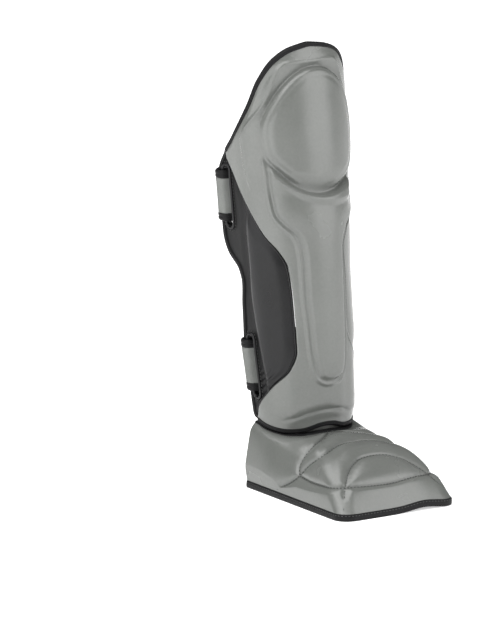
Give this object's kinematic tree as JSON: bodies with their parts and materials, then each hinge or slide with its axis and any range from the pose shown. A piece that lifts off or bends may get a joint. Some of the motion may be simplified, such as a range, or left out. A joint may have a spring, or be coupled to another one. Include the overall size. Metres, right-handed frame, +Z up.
{
  "type": "shin and instep guard",
  "caption": "Padded shin and instep guard for one leg, moulded shell with side panel, wing, back straps and a quilted instep part.",
  "frame": {"origin": "on the floor, under the middle of the guard's outline", "axes": "+Z up along the shin, -Y towards the toes and the front of the shin, -X towards the black side panel, +X towards the wing"},
  "size_m": [0.1284, 0.2412, 0.4182],
  "materials": {
    "shell_leather": "satin grey synthetic leather",
    "panel_leather": "black synthetic leather, slightly glossy",
    "binding_tape": "black woven binding tape",
    "strap_elastic": "grey elastic webbing"
  },
  "bodies": {
    "root": {"shin_shell": "shell_leather", "side_wing": "shell_leather", "side_panel": "panel_leather", "panel_piping": "binding_tape", "edge_binding": "binding_tape", "strap_upper": "strap_elastic", "strap_upper_tape_top": "binding_tape", "strap_upper_tape_bottom": "binding_tape", "slot_trim_upper": "panel_leather", "strap_lower": "strap_elastic", "strap_lower_tape_top": "binding_tape", "strap_lower_tape_bottom": "binding_tape", "slot_trim_lower": "panel_leather", "instep_shell": "shell_leather", "instep_rim": "binding_tape", "collar_binding": "binding_tape", "ankle_hinge": "shell_leather", "ankle_elastic_panel_side": "binding_tape", "ankle_elastic_wing_side": "binding_tape"}
  },
  "joints": []
}
